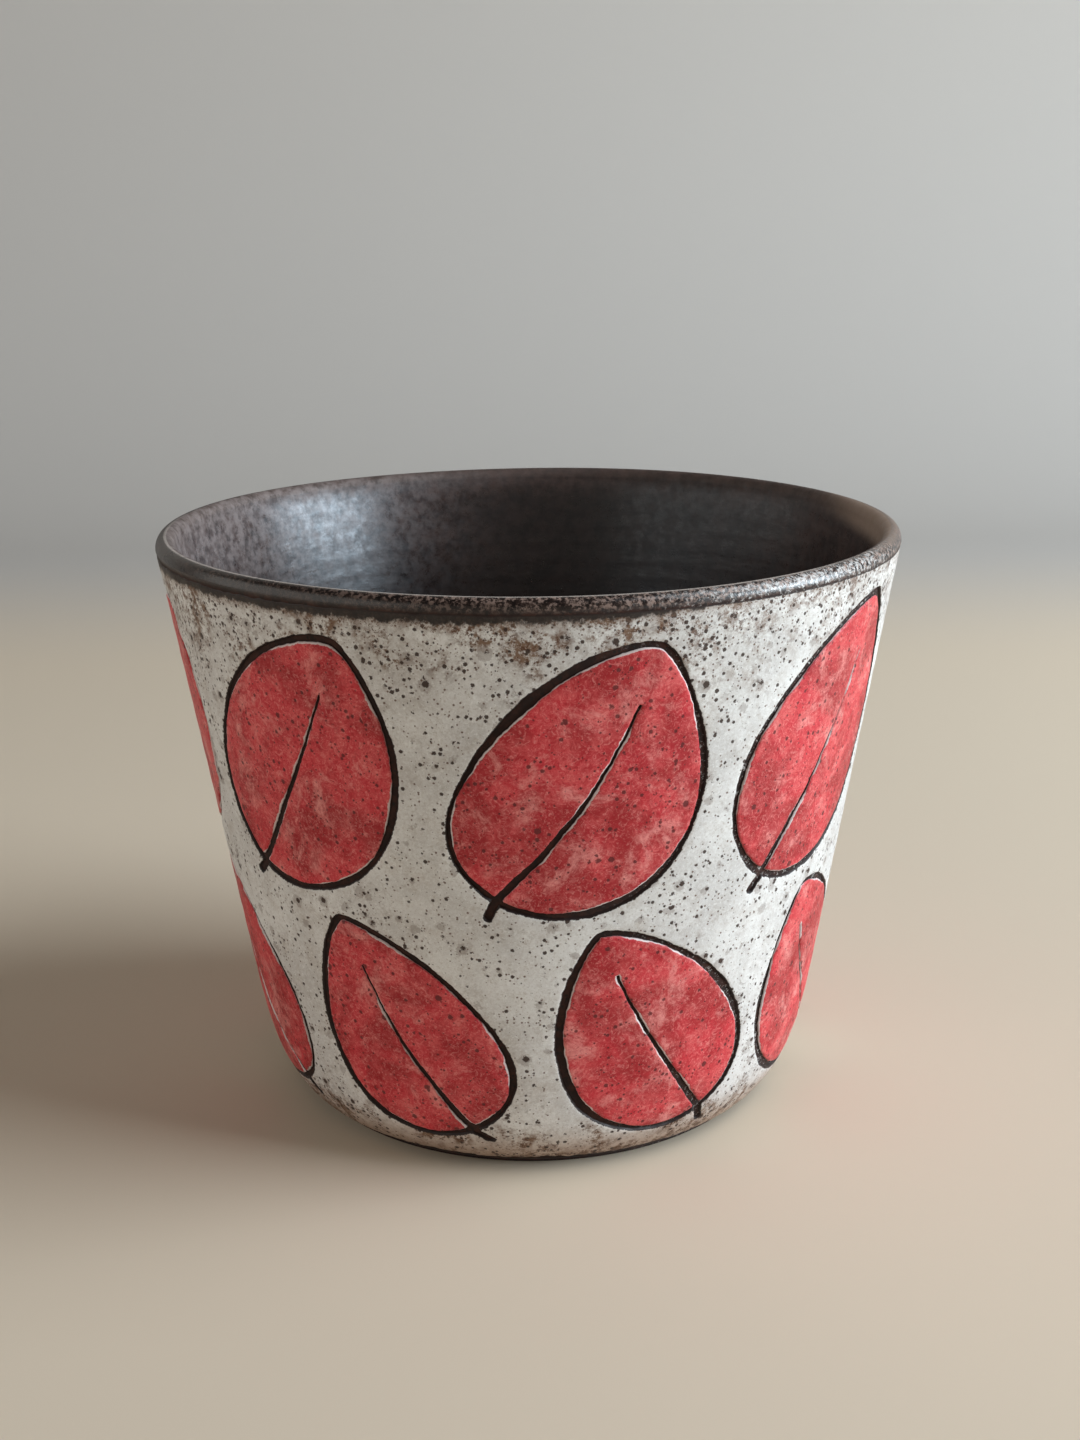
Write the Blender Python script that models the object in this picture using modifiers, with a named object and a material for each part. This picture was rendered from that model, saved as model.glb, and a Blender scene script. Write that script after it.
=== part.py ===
"""Handleless coffee cup of dark stoneware with a carved white slip coat and red leaves.

The cup is one turned clay body. A thin coat of white slip covers its wall from just under the bare
lip to just above the bare foot, and a skin of glaze lines its inside. Two rows of slanted leaves are
painted red on the slip. A line carved round each leaf goes through the slip to the dark clay, so each
red leaf is an island of slip in a window of the coat.

Units are metres. The origin is the centre of the foot on the table, and +Z is up the cup's axis.
"""

import math

import bmesh
import bpy
from mathutils import Matrix

# Outside of the cup
HEIGHT = 0.0715
RIM_RADIUS = 0.045
HEEL_RADIUS = 0.0362
HEEL_HEIGHT = 0.0165
FOOT_RADIUS = 0.029
HEEL_ANGLE = math.radians(28)
HEEL_FULLNESS = (0.9, 0.6)

# Lip, seen in section as the top half of an ellipse
LIP_WIDTH = 0.0023
LIP_HEIGHT = 0.0014

# Inside of the cup
HEEL_WALL = 0.0042
FLOOR_RADIUS = 0.018
FLOOR_HEIGHT = 0.0060
FLOOR_FULLNESS = (0.55, 0.6)

# Foot ring and the shallow recess turned inside it
FOOT_RING_WIDTH = 0.0045
RECESS_DEPTH = 0.0016
RECESS_SLOPE = 0.0012
FOOT_EDGE = 0.0004

# White slip on the outside
SLIP_THICKNESS = 0.0005
BARE_RIM = 0.0024
BARE_FOOT = 0.0014

# Glaze on the inside
GLAZE_THICKNESS = 0.0004
GLAZE_DROP = 0.0021

# Gap kept between a coat and the clay that carries it
COAT_GAP = 0.0003

# Leaves carved through the slip
LEAF_COUNT = 8
LEAF_TILT = math.radians(30)
LINE_WIDTH = 0.0008
WHITE_GAP = 0.0023
RIB_WIDTH = 0.0008
RIB_REACH = 0.80
STALK_LENGTH = 0.0028
STALK_WIDTH = 0.0009
LEAF_BEND = 0.0016
BASE_ROUNDNESS = 0.50
TIP_SHARPNESS = 0.72
TOP_MARGIN = 0.0034
ROW_GAP = 0.0022
BOTTOM_MARGIN = 0.0026
UPPER_ROW_SHARE = 0.53
UPPER_ROW_TURN = math.radians(-84)
LOWER_ROW_TURN = math.radians(-67.5)

# Fineness of the faceted solids
FACETS_PER_LEAF = 9
SEGMENTS = FACETS_PER_LEAF * LEAF_COUNT
LIP_STEPS = 4
HEEL_STEPS = 4
FLOOR_STEPS = 5
LEAF_STEPS = 10
RIB_STEPS = 4
CUTTER_DEPTH = 0.006
MERGE_DISTANCE = 0.00001

# Colours as linear red, green and blue, then roughness
CLAY_FINISH = ((0.062, 0.041, 0.031), 0.62)
SLIP_FINISH = ((0.60, 0.58, 0.53), 0.55)
GLAZE_FINISH = ((0.052, 0.037, 0.031), 0.30)
RED_FINISH = ((0.47, 0.052, 0.054), 0.50)

# Height of the lip's widest ring, where the straight wall ends
LIP_BASE = HEIGHT - LIP_HEIGHT


def clear_scene():
    for obj in list(bpy.data.objects):
        bpy.data.objects.remove(obj)


def new_collection(name):
    made = bpy.data.collections.new(name)
    bpy.context.scene.collection.children.link(made)
    return made


def material(name, finish):
    """A plain coat with a colour and a roughness, and no metal in it."""
    colour, roughness = finish
    made = bpy.data.materials.new(name)
    made.use_nodes = True
    shader = made.node_tree.nodes["Principled BSDF"]
    shader.inputs["Base Color"].default_value = (*colour, 1)
    shader.inputs["Roughness"].default_value = roughness
    shader.inputs["Metallic"].default_value = 0
    made.diffuse_color = (*colour, 1)
    return made


def fair_curve(start, corner, end, fullness, steps):
    """Points of a cubic curve that leaves start towards corner and reaches end from corner."""
    low = [s + fullness[0] * (c - s) for s, c in zip(start, corner)]
    high = [e + fullness[1] * (c - e) for e, c in zip(end, corner)]
    points = []
    for step in range(steps + 1):
        t = step / steps
        weights = ((1 - t) ** 3, 3 * t * (1 - t) ** 2, 3 * t * t * (1 - t), t**3)
        controls = (start, low, high, end)
        points.append(tuple(sum(w * p[axis] for w, p in zip(weights, controls)) for axis in (0, 1)))
    return points


def offset(points, distance, closed=False):
    """The points moved to the right of the way they run, each along the mitre of its two sides."""
    count = len(points)
    moved = []
    for i, (x, y) in enumerate(points):
        normals = []
        for a, b in ((i - 1, i), (i, i + 1)):
            if not closed and (a < 0 or b >= count):
                continue
            (ax, ay), (bx, by) = points[a % count], points[b % count]
            length = math.hypot(bx - ax, by - ay)
            normals.append(((by - ay) / length, (ax - bx) / length))
        nx = sum(n[0] for n in normals) / len(normals)
        ny = sum(n[1] for n in normals) / len(normals)
        square = nx * nx + ny * ny
        moved.append((x + distance * nx / square, y + distance * ny / square))
    return moved


def radius_at(line, height):
    """Radius of a line of rising (radius, height) points, carried straight on past its two ends."""
    pairs = list(zip(line, line[1:]))
    (r0, z0), (r1, z1) = next((pair for pair in pairs if height <= pair[1][1]), pairs[-1])
    return r0 + (r1 - r0) * (height - z0) / (z1 - z0)


def between(line, low, high):
    """The stretch of a rising line from one height to another."""
    inner = [(r, z) for r, z in line if low + MERGE_DISTANCE < z < high - MERGE_DISTANCE]
    return [(radius_at(line, low), low), *inner, (radius_at(line, high), high)]


def meeting_corner(foot, angle, wall_low, wall_high):
    """Where a ray that leaves foot at an angle above level meets the wall line carried on down."""
    lean = (wall_high[0] - wall_low[0]) / (wall_high[1] - wall_low[1])
    wall_at_foot = wall_low[0] + lean * (foot[1] - wall_low[1])
    rise = math.tan(angle)
    out = (wall_at_foot - foot[0]) / (1 - lean * rise)
    return foot[0] + out, foot[1] + out * rise


def outside_line():
    """Outside of the slip from the foot up to the lip, as rising (radius, height) points."""
    foot = (FOOT_RADIUS, 0)
    heel = (HEEL_RADIUS, HEEL_HEIGHT)
    lip = (RIM_RADIUS, LIP_BASE)
    corner = meeting_corner(foot, HEEL_ANGLE, heel, lip)
    return [*fair_curve(foot, corner, heel, HEEL_FULLNESS, HEEL_STEPS), lip]


def inside_line():
    """Inside of the glaze from the centre of the floor out and up to the lip."""
    floor = (FLOOR_RADIUS, FLOOR_HEIGHT)
    heel = (HEEL_RADIUS - HEEL_WALL, HEEL_HEIGHT)
    lip = (RIM_RADIUS - LIP_WIDTH, LIP_BASE)
    corner = meeting_corner(floor, 0, heel, lip)
    return [(0, FLOOR_HEIGHT), *fair_curve(floor, corner, heel, FLOOR_FULLNESS, FLOOR_STEPS), lip]


def widened(line, distance):
    """The inside line moved out into the clay, with its first point kept on the axis."""
    moved = offset(line, distance)
    return [(0, moved[0][1]), *moved[1:]]


def lip_arc():
    """Section of the lip from its inner side over the crest to its outer side."""
    centre = RIM_RADIUS - LIP_WIDTH / 2
    points = []
    for step in range(2 * LIP_STEPS + 1):
        angle = math.pi * (1 - step / (2 * LIP_STEPS))
        points.append((centre + LIP_WIDTH / 2 * math.cos(angle), LIP_BASE + LIP_HEIGHT * math.sin(angle)))
    return points


def up_to(line, height):
    """A line that starts on the axis, cut off at a height that its wall passes."""
    kept = [(r, z) for r, z in line if z < height - MERGE_DISTANCE]
    return [*kept, (radius_at(line[1:], height), height)]


def clay_profile(outside, inside):
    """Section of the clay: inner floor, inner wall, lip, outer wall, foot ring and recess."""
    under_glaze = widened(inside, GLAZE_THICKNESS + COAT_GAP)
    under_slip = offset(outside, -(SLIP_THICKNESS + COAT_GAP))
    inner_ledge = HEIGHT - GLAZE_DROP + COAT_GAP
    outer_ledge = HEIGHT - BARE_RIM + COAT_GAP
    foot_outer = radius_at(under_slip, FOOT_EDGE)
    foot_inner = foot_outer - FOOT_RING_WIDTH
    return [
        *up_to(under_glaze, inner_ledge),
        (radius_at(inside[1:], inner_ledge), inner_ledge),
        *lip_arc(),
        (radius_at(outside, outer_ledge), outer_ledge),
        *reversed(between(under_slip, FOOT_EDGE, outer_ledge)),
        (foot_outer - FOOT_EDGE, 0),
        (foot_inner + FOOT_EDGE, 0),
        (foot_inner, FOOT_EDGE),
        (foot_inner - RECESS_SLOPE, RECESS_DEPTH),
        (0, RECESS_DEPTH),
    ]


def slip_profile(outside):
    """Section of the slip coat as a closed loop, down its outer side and up its inner side."""
    back = offset(outside, -SLIP_THICKNESS)
    span = (BARE_FOOT, HEIGHT - BARE_RIM)
    return [*reversed(between(outside, *span)), *between(back, *span)]


def glaze_profile(inside):
    """Section of the liner glaze: its inner side up the wall, then its outer side down to the axis."""
    edge = HEIGHT - GLAZE_DROP
    outer = widened(inside, GLAZE_THICKNESS)
    return [*up_to(inside, edge), *reversed(up_to(outer, edge))]


def turned(name, profile, coat, collection, closed=False):
    """A solid of revolution: the profile's edges with a Screw modifier about Z."""
    mesh = bpy.data.meshes.new(name)
    edges = [(i, i + 1) for i in range(len(profile) - 1)]
    if closed:
        edges.append((len(profile) - 1, 0))
    mesh.from_pydata([(r, 0, z) for r, z in profile], edges, [])
    mesh.materials.append(coat)
    obj = bpy.data.objects.new(name, mesh)
    collection.objects.link(obj)
    screw = obj.modifiers.new("Turn", "SCREW")
    screw.axis = "Z"
    screw.steps = SEGMENTS
    screw.render_steps = SEGMENTS
    screw.use_merge_vertices = True
    screw.merge_threshold = MERGE_DISTANCE
    screw.use_smooth_shade = True
    return obj


def boolean(obj, operation, **target):
    """Adds an exact Boolean with another object or with a collection of cutters."""
    modifier = obj.modifiers.new(operation.title(), "BOOLEAN")
    modifier.operation = operation
    modifier.solver = "EXACT"
    modifier.operand_type = "COLLECTION" if "collection" in target else "OBJECT"
    for key, value in target.items():
        setattr(modifier, key, value)


class LeafRow:
    """Size and place of one row of leaves, worked out from the band of wall that it fills."""

    def __init__(self, name, low, high, lean_sign, turn, wall):
        self.name = name
        self.height = (low + high) / 2
        self.radius = radius_at(wall, self.height)
        self.wall_lean = math.atan2(radius_at(wall, high) - radius_at(wall, self.height), high - self.height)
        self.tilt = lean_sign * LEAF_TILT
        self.turn = turn
        pitch = 2 * math.pi * self.radius / LEAF_COUNT
        self.half_width = (pitch * math.cos(LEAF_TILT) - 2 * LINE_WIDTH - WHITE_GAP) / 2
        self.length = (high - low) / math.cos(LEAF_TILT) - STALK_LENGTH
        self.bend = -lean_sign * LEAF_BEND

    def base(self):
        """Place of the leaf's base along its length, so that leaf and stalk are centred together."""
        return (STALK_LENGTH - self.length) / 2

    def middle(self, share):
        """The rib line at a share of the length: a shallow bow to one side."""
        return self.bend * math.sin(math.pi * share), self.base() + self.length * share

    def spread(self, share):
        """Half the leaf's width there: round at the base and pointed at the tip."""
        widest = BASE_ROUNDNESS / (BASE_ROUNDNESS + TIP_SHARPNESS)
        return (
            self.half_width
            * (share / widest) ** BASE_ROUNDNESS
            * ((1 - share) / (1 - widest)) ** TIP_SHARPNESS
        )

    def side(self, sign):
        """Points up one side of the leaf from near its base to near its tip."""
        points = []
        for step in range(1, LEAF_STEPS):
            share = (1 - math.cos(math.pi * step / LEAF_STEPS)) / 2
            across, along = self.middle(share)
            points.append((across + sign * self.spread(share), along))
        return points

    def window(self):
        """Outline of the hole in the slip: the leaf with its carved line and its stalk."""
        leaf = [self.middle(0), *self.side(1), self.middle(1), *reversed(self.side(-1))]
        grown = offset(leaf, LINE_WIDTH, closed=True)
        half = STALK_WIDTH / 2
        low = self.base() - STALK_LENGTH
        top = self.base() - LINE_WIDTH
        return [(-half, top), (-half, low), (half, low), (half, top), *grown[1:]]

    def island(self):
        """Outline of the red leaf, slit from its base along the rib."""
        half = RIB_WIDTH / 2
        rib = [self.middle(RIB_REACH * step / RIB_STEPS) for step in range(RIB_STEPS)]
        right = [(x + half * (1 - step / RIB_STEPS), y) for step, (x, y) in enumerate(rib)]
        left = [(x - half * (1 - step / RIB_STEPS), y) for step, (x, y) in enumerate(rib)]
        slit = [*left, self.middle(RIB_REACH), *reversed(right)]
        return [*slit, *self.side(1), self.middle(1), *reversed(self.side(-1))]

    def placement(self, index):
        """Matrix that stands the flat outline on the wall: X across, Y up the wall, Z out of it."""
        lean = self.wall_lean
        on_wall = Matrix(
            (
                (0, math.sin(lean), math.cos(lean), self.radius),
                (1, 0, 0, 0),
                (0, math.cos(lean), -math.sin(lean), self.height),
                (0, 0, 0, 1),
            )
        )
        around = Matrix.Rotation(self.turn + 2 * math.pi * index / LEAF_COUNT, 4, "Z")
        return around @ on_wall @ Matrix.Rotation(self.tilt, 4, "Z")


def leaf_rows(wall):
    """The upper and the lower row, which lean opposite ways."""
    low = BARE_FOOT + BOTTOM_MARGIN
    high = HEIGHT - BARE_RIM - TOP_MARGIN
    free = high - low - ROW_GAP
    parting = high - UPPER_ROW_SHARE * free
    return (
        LeafRow("upper_leaf", parting, high, -1, UPPER_ROW_TURN, wall),
        LeafRow("lower_leaf", low, parting - ROW_GAP, 1, LOWER_ROW_TURN, wall),
    )


def prism(name, outline, collection):
    """A flat outline as a filled 2D curve with thickness, made a closed mesh that can cut."""
    curve = bpy.data.curves.new(name, "CURVE")
    curve.dimensions = "2D"
    curve.fill_mode = "BOTH"
    curve.extrude = CUTTER_DEPTH
    spline = curve.splines.new("POLY")
    spline.points.add(len(outline) - 1)
    for point, (x, y) in zip(spline.points, outline):
        point.co = (x, y, 0, 1)
    spline.use_cyclic_u = True
    shape = bpy.data.objects.new(name + "_curve", curve)
    collection.objects.link(shape)
    graph = bpy.context.evaluated_depsgraph_get()
    mesh = bpy.data.meshes.new_from_object(shape.evaluated_get(graph))
    mesh.name = name
    bpy.data.objects.remove(shape)
    work = bmesh.new()
    work.from_mesh(mesh)
    bmesh.ops.remove_doubles(work, verts=work.verts, dist=MERGE_DISTANCE)
    bmesh.ops.recalc_face_normals(work, faces=work.faces)
    work.to_mesh(mesh)
    work.free()
    return mesh


def cutter(name, mesh, matrix, collection):
    """A placed cutting shape, which a render leaves out."""
    obj = bpy.data.objects.new(name, mesh)
    collection.objects.link(obj)
    obj.matrix_world = matrix
    obj.hide_render = True
    obj.display_type = "WIRE"
    return obj


def cut_island(row, profile, coat, cutters):
    """Mesh of one red leaf at the row's first place: the slip coat inside the leaf's outline."""
    shell = turned(row.name + "_shell", profile, coat, cutters, closed=True)
    outline = cutter(row.name + "_outline", prism(row.name, row.island(), cutters), row.placement(0), cutters)
    boolean(shell, "INTERSECT", object=outline)
    graph = bpy.context.evaluated_depsgraph_get()
    mesh = bpy.data.meshes.new_from_object(shell.evaluated_get(graph))
    mesh.name = row.name
    bpy.data.objects.remove(shell)
    bpy.data.objects.remove(outline)
    return mesh


def main():
    clear_scene()
    cup = new_collection("coffee_cup")
    cutters = new_collection("cutters")
    windows = new_collection("windows")

    outside = outside_line()
    inside = inside_line()
    turned("clay_body", clay_profile(outside, inside), material("clay", CLAY_FINISH), cup)
    turned("liner_glaze", glaze_profile(inside), material("glaze", GLAZE_FINISH), cup)

    coat_section = slip_profile(outside)
    coat = turned("slip_coat", coat_section, material("slip", SLIP_FINISH), cup, closed=True)
    red = material("red", RED_FINISH)
    for row in leaf_rows(outside):
        island = cut_island(row, coat_section, red, cutters)
        window = prism(row.name + "_window", row.window(), cutters)
        for index in range(LEAF_COUNT):
            number = index + 1
            cutter(f"{row.name}_window_{number}", window, row.placement(index), windows)
            leaf = bpy.data.objects.new(f"{row.name}_{number}", island)
            leaf.rotation_euler.z = 2 * math.pi * index / LEAF_COUNT
            cup.objects.link(leaf)
    boolean(coat, "DIFFERENCE", collection=windows)


main()
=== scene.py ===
"""Dresses the coffee cup: dark stoneware under a carved coat of speckled white slip, two rows of
mottled red leaves, and a satin glaze inside. Lengths are in metres and +Z is up the cup's axis."""

import math
import random

import bpy
import numpy as np
from mathutils import Matrix, Vector, noise
from mathutils.geometry import delaunay_2d_cdt


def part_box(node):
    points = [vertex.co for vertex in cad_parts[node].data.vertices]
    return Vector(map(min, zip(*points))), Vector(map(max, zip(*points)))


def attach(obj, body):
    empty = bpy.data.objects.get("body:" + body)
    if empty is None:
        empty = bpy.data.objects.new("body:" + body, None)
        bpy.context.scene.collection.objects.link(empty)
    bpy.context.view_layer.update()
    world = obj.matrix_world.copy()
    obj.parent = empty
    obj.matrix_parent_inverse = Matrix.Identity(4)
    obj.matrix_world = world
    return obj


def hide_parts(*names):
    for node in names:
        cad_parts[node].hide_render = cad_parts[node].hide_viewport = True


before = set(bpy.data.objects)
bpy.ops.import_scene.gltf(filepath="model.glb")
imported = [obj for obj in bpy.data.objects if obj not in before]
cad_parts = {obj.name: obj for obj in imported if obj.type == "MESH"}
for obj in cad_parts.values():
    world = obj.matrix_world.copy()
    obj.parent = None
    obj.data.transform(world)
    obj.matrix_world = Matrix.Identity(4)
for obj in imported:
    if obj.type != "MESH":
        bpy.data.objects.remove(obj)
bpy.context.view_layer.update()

MM = 0.001

# Outside of the cup, as in the solids
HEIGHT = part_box("clay_body")[1].z
RIM_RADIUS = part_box("clay_body")[1].x
HEEL_RADIUS = 36.2 * MM
HEEL_HEIGHT = 16.5 * MM
FOOT_RADIUS = 29 * MM
HEEL_ANGLE = math.radians(28)
HEEL_FULLNESS = (0.9, 0.6)
LIP_WIDTH = 2.3 * MM
LIP_HEIGHT = 1.4 * MM
LIP_BASE = HEIGHT - LIP_HEIGHT

# Inside and foot
HEEL_WALL = 4.2 * MM
FLOOR_RADIUS = 18 * MM
FLOOR_HEIGHT = 6 * MM
FLOOR_FULLNESS = (0.55, 0.6)
FOOT_RING_WIDTH = 4.5 * MM
RECESS_DEPTH = 1.6 * MM
RECESS_SLOPE = 1.2 * MM
FOOT_EDGE = 0.5 * MM
AXIS_RING = 0.5 * MM

# How far it strays from a true round
LOWEST_RIM = math.radians(-70)
RIM_DIP = 0.36 * MM
OUT_OF_ROUND = 0.07 * MM
TURNING_MARKS = 0.018 * MM
THROWING_RINGS = 0.007 * MM
THROWING_PITCH = 2.4 * MM

# Coats
CARVE_DEPTH = 0.35 * MM
BARE_DEPTH = 0.05 * MM
BARE_RIM = 2.4 * MM
BARE_FOOT = 1.4 * MM
SLIP_FADE = 1.2 * MM
SLIP_TOP = HEIGHT - BARE_RIM + 0.5 * MM
SLIP_RISE = 0.95 * MM
SLIP_STRAY = 0.25 * MM
HIGHEST_SLIP = math.radians(-12)
GLAZE_THICKNESS = 0.4 * MM
GLAZE_BACK_TOP = LIP_BASE - 0.6 * MM
GLAZE_END = 135
SINK = 0.05 * MM

# Leaves
LEAF_COUNT = 8
LEAF_TILT = math.radians(30)
LINE_WIDTH = 0.8 * MM
WHITE_GAP = 2.3 * MM
RIB_WIDTH = 0.8 * MM
RIB_REACH = 0.80
RIB_END = 0.22 * MM
STALK_LENGTH = 2.8 * MM
STALK_WIDTH = 0.8 * MM
LEAF_BEND = 1.6 * MM
BASE_ROUNDNESS = 0.50
TIP_SHARPNESS = 0.72
TOP_MARGIN = 3.4 * MM
ROW_GAP = 2.2 * MM
BOTTOM_MARGIN = 2.6 * MM
UPPER_ROW_SHARE = 0.53
UPPER_ROW_TURN = math.radians(-84)
LOWER_ROW_TURN = math.radians(-67.5)

# How the hand that carved them strays, as the most that a leaf differs from its row
STRAY_TILT = math.radians(3)
STRAY_PLACE = 0.35 * MM
STRAY_SHAPE = 0.10
STRAY_BEND = 0.8 * MM
STRAY_STALK = 0.9 * MM
RAGGED_SEED = 5
RAGGED = ((7 * MM, 0.30 * MM), (1.6 * MM, 0.09 * MM), (0.5 * MM, 0.08 * MM))

# Fineness of the meshes
LINE_STEP = 0.30 * MM
FIELD_STEP = 0.85 * MM
EDGE_RINGS = (0.0, 0.09 * MM, 0.20 * MM, 0.45 * MM)
EDGE_HEIGHTS = (0.0, 0.72, 0.94, 1.0)
FAR_FROM_EDGE = 1.0 * MM
TURNED_SEGMENTS = 400
BORDER_POINTS = 1100

# Camera, solved from the outline of the cup in the photograph
PHOTO_SIZE = (1080, 1440)
FOCAL_PIXELS = 1800
CAMERA_DISTANCE = 218.96 * MM
CAMERA_HEIGHT = 108.89 * MM
CAMERA_PITCH = 0.2807
CAMERA_ROLL = -0.0126
CAMERA_YAW = 0.0051
SENSOR = 36.0

# Floor, and the backdrop that it turns up into
FLOOR_WIDTH = 1.6
FLOOR_FRONT = -0.7
BACKDROP_PLACE = 0.55
BACKDROP_HEIGHT = 0.9
BACKDROP_BEND = 0.18
BEND_STEPS = 16

# Lamps: name, place, width and height, watts and colour
LIT_POINT = (0, 0, 0.05)
LAMPS = (
    ("window", (0.70, -0.10, 0.20), (0.48, 0.26), 6.7, (0.80, 0.915, 1.0)),
    ("sky", (0.52, -0.10, 0.62), (0.50, 0.40), 3.4, (0.90, 0.95, 1.0)),
    ("left", (-0.95, -0.25, 0.35), (1.50, 0.80), 4.1, (1.0, 0.955, 0.89)),
    ("front", (-0.10, -0.95, 0.30), (1.40, 0.60), 0.8, (1.0, 0.88, 0.74)),
)
WORLD_COLOR = (1.0, 0.99, 0.97, 1)
WORLD_STRENGTH = 0.06


# The cup's section


def fair_curve(start, corner, end, fullness, steps):
    """Points of a cubic curve that leaves start towards corner and reaches end from corner."""
    start, corner, end = (np.array(p, float) for p in (start, corner, end))
    low = start + fullness[0] * (corner - start)
    high = end + fullness[1] * (corner - end)
    t = np.linspace(0, 1, steps + 1)[:, None]
    return (1 - t) ** 3 * start + 3 * t * (1 - t) ** 2 * low + 3 * t * t * (1 - t) * high + t**3 * end


def meeting_corner(foot, angle, wall_low, wall_high):
    """Where a ray that leaves foot at an angle above level meets the wall line carried on down."""
    lean = (wall_high[0] - wall_low[0]) / (wall_high[1] - wall_low[1])
    wall_at_foot = wall_low[0] + lean * (foot[1] - wall_low[1])
    rise = math.tan(angle)
    out = (wall_at_foot - foot[0]) / (1 - lean * rise)
    return foot[0] + out, foot[1] + out * rise


def straight(start, end, steps):
    """Points along a straight line, without its first one."""
    t = np.linspace(0, 1, steps + 1)[1:, None]
    return np.array(start) * (1 - t) + np.array(end) * t


def outside_line():
    """Outside of the cup from the foot up to the lip, as (radius, height) rows."""
    foot, heel, lip = (FOOT_RADIUS, 0), (HEEL_RADIUS, HEEL_HEIGHT), (RIM_RADIUS, LIP_BASE)
    curve = fair_curve(foot, meeting_corner(foot, HEEL_ANGLE, heel, lip), heel, HEEL_FULLNESS, 40)
    return np.vstack([curve, straight(heel, lip, 60)])


def inside_line():
    """Inside of the cup from the edge of the flat floor up to the lip."""
    floor = (FLOOR_RADIUS, FLOOR_HEIGHT)
    heel = (HEEL_RADIUS - HEEL_WALL, HEEL_HEIGHT)
    lip = (RIM_RADIUS - LIP_WIDTH, LIP_BASE)
    curve = fair_curve(floor, meeting_corner(floor, 0, heel, lip), heel, FLOOR_FULLNESS, 40)
    return np.vstack([curve, straight(heel, lip, 110)])


def normals_of(line):
    """Unit normals to the right of the way the line runs."""
    along = np.gradient(line, axis=0)
    along /= np.linalg.norm(along, axis=1)[:, None]
    return np.column_stack([along[:, 1], -along[:, 0]])


OUTSIDE = outside_line()
OUTSIDE_NORMALS = normals_of(OUTSIDE)
INSIDE = inside_line()


def ease(value, low, high):
    """Rises smoothly from 0 at low to 1 at high."""
    t = np.clip((value - low) / (high - low), 0, 1)
    return t * t * (3 - 2 * t)


def wall_radius(z):
    """Radius of the outside at a height."""
    return np.interp(z, OUTSIDE[:, 1], OUTSIDE[:, 0])


def carve_room(z):
    """How far the clay lies under the outside of the cup: the slip's thickness, less on the bare bands."""
    coated = ease(z, BARE_FOOT - 0.5 * MM, BARE_FOOT + SLIP_FADE)
    coated *= 1 - ease(z, HEIGHT - BARE_RIM - SLIP_FADE, LIP_BASE - 0.3 * MM)
    flush = 1 - ease(z, LIP_BASE - 0.45 * MM, LIP_BASE - 0.05 * MM)
    return (BARE_DEPTH + (CARVE_DEPTH - BARE_DEPTH) * coated) * flush


def hand_thrown(theta, radius, z):
    """Radius and height with the slow unevenness of a cup thrown by hand, never outside its true size."""
    slow = 0.5 * np.sin(2 * theta + 1.3) + 0.3 * np.sin(3 * theta - 0.7 + z / (30 * MM))
    slow += 0.2 * np.sin(5 * theta + 2.1 - z / (17 * MM))
    dip = (0.5 + 0.5 * np.cos(theta - LOWEST_RIM)) ** 2 + 0.12 * (1 + np.sin(4 * theta))
    radius = radius + OUT_OF_ROUND * (slow - 1) * ease(radius, 10 * MM, 25 * MM)
    return radius, z - RIM_DIP * dip * ease(z, HEIGHT - 12 * MM, HEIGHT)


def on_wall(theta, z, height, sink=0.0):
    """Points on the outside at an angle and a height, raised by a share of the coat's thickness."""
    nr = np.interp(z, OUTSIDE[:, 1], OUTSIDE_NORMALS[:, 0])
    nz = np.interp(z, OUTSIDE[:, 1], OUTSIDE_NORMALS[:, 1])
    out = -carve_room(z) * (1 - height) - sink
    out = out + TURNING_MARKS * np.sin(z / (0.62 * MM) + theta) * height
    radius, level = hand_thrown(theta, wall_radius(z) + nr * out, z + nz * out)
    return np.column_stack([radius * np.cos(theta), radius * np.sin(theta), level])


# Flat outlines and the triangles between them


def resampled(points, step):
    """A closed loop through the points, with its own points evenly spaced."""
    closed = np.vstack([points, points[:1]])
    lengths = np.linalg.norm(np.diff(closed, axis=0), axis=1)
    along = np.concatenate([[0], np.cumsum(lengths)])
    count = max(8, round(along[-1] / step))
    places = np.arange(count) * along[-1] / count
    return np.column_stack([np.interp(places, along, closed[:, k]) for k in (0, 1)])


def left_normals(loop):
    """Unit normals to the left of a closed loop, which is inwards where it runs anticlockwise."""
    ahead = np.roll(loop, -1, 0) - np.roll(loop, 1, 0)
    ahead /= np.linalg.norm(ahead, axis=1)[:, None]
    return np.column_stack([-ahead[:, 1], ahead[:, 0]])


def distance_to(points, loop):
    """How far each point lies from a closed loop."""
    run = np.roll(loop, -1, 0) - loop
    offset = points[:, None] - loop[None]
    share = np.clip((offset * run).sum(2) / (run * run).sum(1), 0, 1)
    return np.linalg.norm(offset - share[:, :, None] * run, axis=2).min(1)


def inside(points, loop):
    """Whether each point lies inside a closed loop, by counting crossings."""
    x, y = points[:, 0, None], points[:, 1, None]
    x0, y0 = loop.T
    x1, y1 = np.roll(loop, -1, 0).T
    crosses = (y0 > y) != (y1 > y)
    reach = x0 + (y - y0) * (x1 - x0) / np.where(y1 == y0, 1, y1 - y0)
    return (crosses & (x < reach)).sum(1) % 2 == 1


def ring(loop, distance):
    """Points beside a closed loop, to its left where distance is positive, less those that crowd it."""
    moved = loop + distance * left_normals(loop)
    return moved[distance_to(moved, loop) > abs(distance) * 0.97]


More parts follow.
